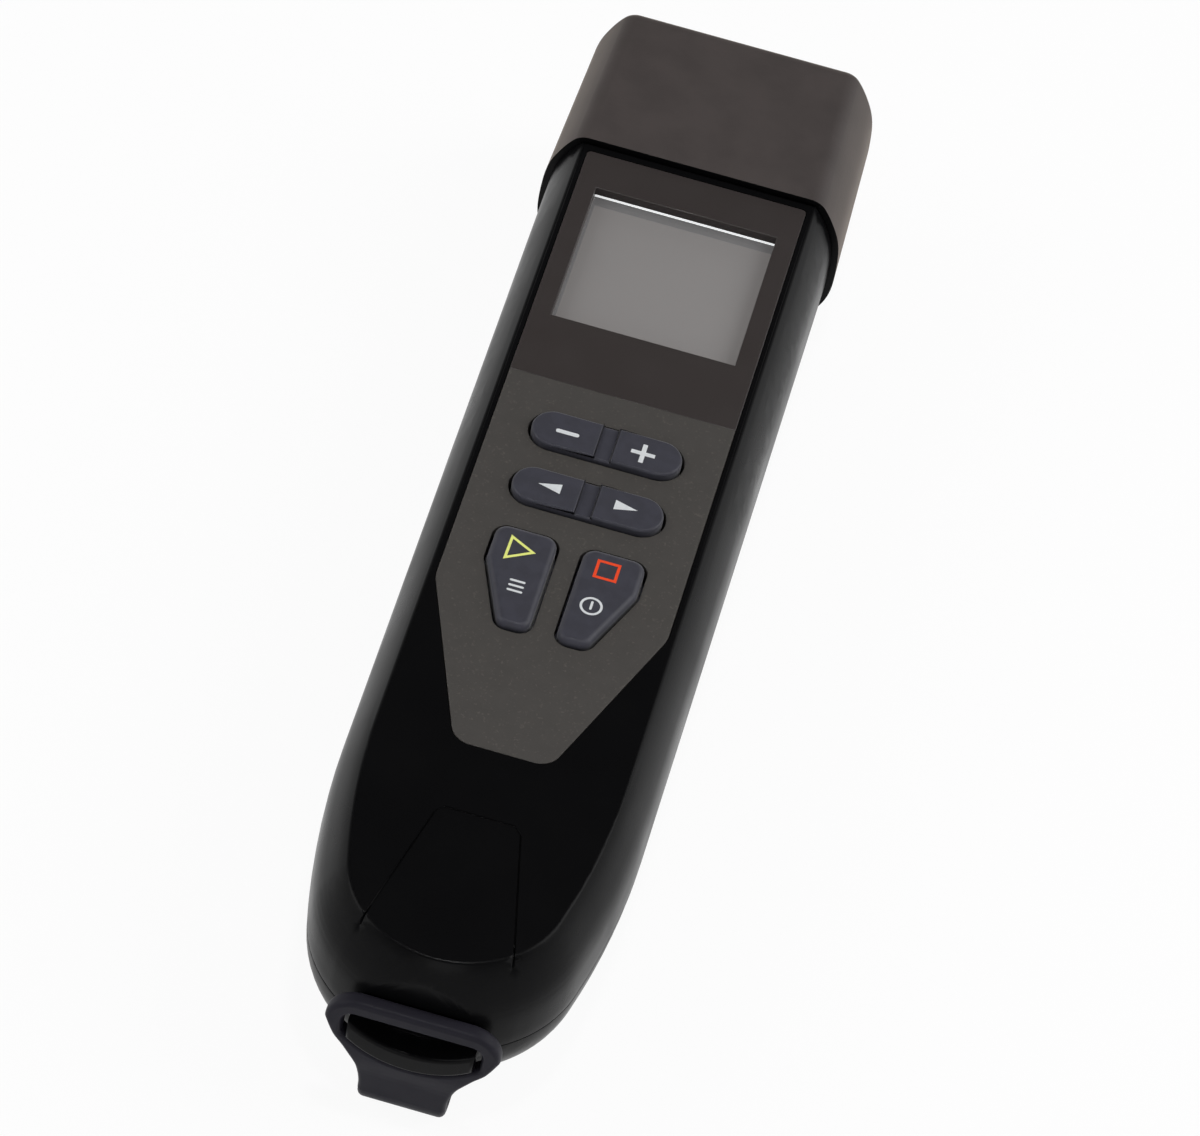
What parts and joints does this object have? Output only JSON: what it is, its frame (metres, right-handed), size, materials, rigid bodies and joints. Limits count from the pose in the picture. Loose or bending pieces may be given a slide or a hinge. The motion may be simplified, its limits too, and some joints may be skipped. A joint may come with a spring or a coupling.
{
  "type": "antenna analyzer",
  "caption": "Handheld antenna analyzer with colour screen, rocker and push keys, N-type RF socket under a pull-off rubber cap and a hooked rubber strap on its back.",
  "frame": {"origin": "centre of the bounding box in X and Y, on the surface it lies on", "axes": "+Z out of the front face, +Y towards the capped connector end, +X to the right when the screen is read"},
  "size_m": [0.055, 0.2234, 0.0373],
  "materials": {
    "housing_black": "fine spark-eroded texture",
    "seal_rubber": "moulded",
    "bezel_dark": "semi-gloss",
    "panel_olive": "matt textured",
    "window_clear": "clear polycarbonate",
    "lcd_grey": "unlit liquid crystal display",
    "lcd_metal": "stamped",
    "key_rubber": "moulded silicone",
    "board_laminate": "solder mask",
    "switch_steel": "stamped",
    "mat_silicone": "moulded silicone",
    "screw_steel": "zinc plated",
    "screw_black": "black oxide",
    "insert_brass": "turned",
    "cell_wrap": "shrink sleeve",
    "holder_black": "moulded",
    "contact_nickel": "nickel plated",
    "connector_nickel": "nickel plated brass",
    "insulator_white": "turned",
    "contact_gold": "gold plated",
    "lead_tinned": "tinned wire",
    "port_steel": "stamped",
    "pipe_clear": "moulded acrylic",
    "shield_tin": "tin plated",
    "buzzer_black": "moulded",
    "cap_silicone": "moulded silicone",
    "strap_silicone": "moulded silicone",
    "pin_steel": "drawn"
  },
  "bodies": {
    "housing": {"front_shell": "housing_black", "rear_shell": "housing_black", "shell_gasket": "seal_rubber", "screen_bezel": "bezel_dark", "keypad_panel": "panel_olive", "display_window": "window_clear", "lcd_panel": "lcd_grey", "lcd_frame": "lcd_metal", "main_board": "board_laminate", "key_switches": "switch_steel", "keypad_mat": "mat_silicone", "board_screws": "screw_steel", "case_screws": "screw_black", "thread_inserts": "insert_brass", "battery_cell": "cell_wrap", "battery_holder": "holder_black", "battery_contacts": "contact_nickel", "rf_connector_body": "connector_nickel", "rf_insulator": "insulator_white", "rf_centre_contact": "contact_gold", "rf_board_lead": "lead_tinned", "rf_flange_screws": "screw_steel", "usb_port": "port_steel", "charge_light_pipe": "pipe_clear", "rf_shield": "shield_tin", "buzzer": "buzzer_black", "strap_back": "strap_silicone", "strap_anchor_pin": "pin_steel"},
    "key_minus_plus": {"key_minus_plus": "key_rubber"},
    "key_left_right": {"key_left_right": "key_rubber"},
    "key_play_menu": {"key_play_menu": "key_rubber"},
    "key_stop_power": {"key_stop_power": "key_rubber"},
    "cap": {"protective_cap": "cap_silicone"},
    "ring": {"strap_ring": "strap_silicone"}
  },
  "joints": [
    {"name": "minus_plus_rock", "type": "hinge", "parent": "housing", "child": "key_minus_plus", "pos_m": [0, 0.0096, 0.0302], "axis": [0, 1, 0], "range_deg": [-2.5, 2.5], "stiffness_Nm_per_rad": 0.6},
    {"name": "left_right_rock", "type": "hinge", "parent": "housing", "child": "key_left_right", "pos_m": [0, -0.0037, 0.0302], "axis": [0, 1, 0], "range_deg": [-2.5, 2.5], "stiffness_Nm_per_rad": 0.6},
    {"name": "play_menu_press", "type": "slide", "parent": "housing", "child": "key_play_menu", "axis": [0, 0, -1], "range_m": [0, 0.0008], "stiffness_N_per_m": 2000},
    {"name": "stop_power_press", "type": "slide", "parent": "housing", "child": "key_stop_power", "axis": [0, 0, -1], "range_m": [0, 0.0008], "stiffness_N_per_m": 2000},
    {"name": "cap_pull", "type": "slide", "parent": "housing", "child": "cap", "axis": [0, 1, 0], "range_m": [0, 0.08]},
    {"name": "ring_unhook", "type": "hinge", "parent": "housing", "child": "ring", "pos_m": [0, -0.1106, 0.00447], "axis": [1, 0, 0], "range_deg": [0, 90], "stiffness_Nm_per_rad": 0.02}
  ]
}
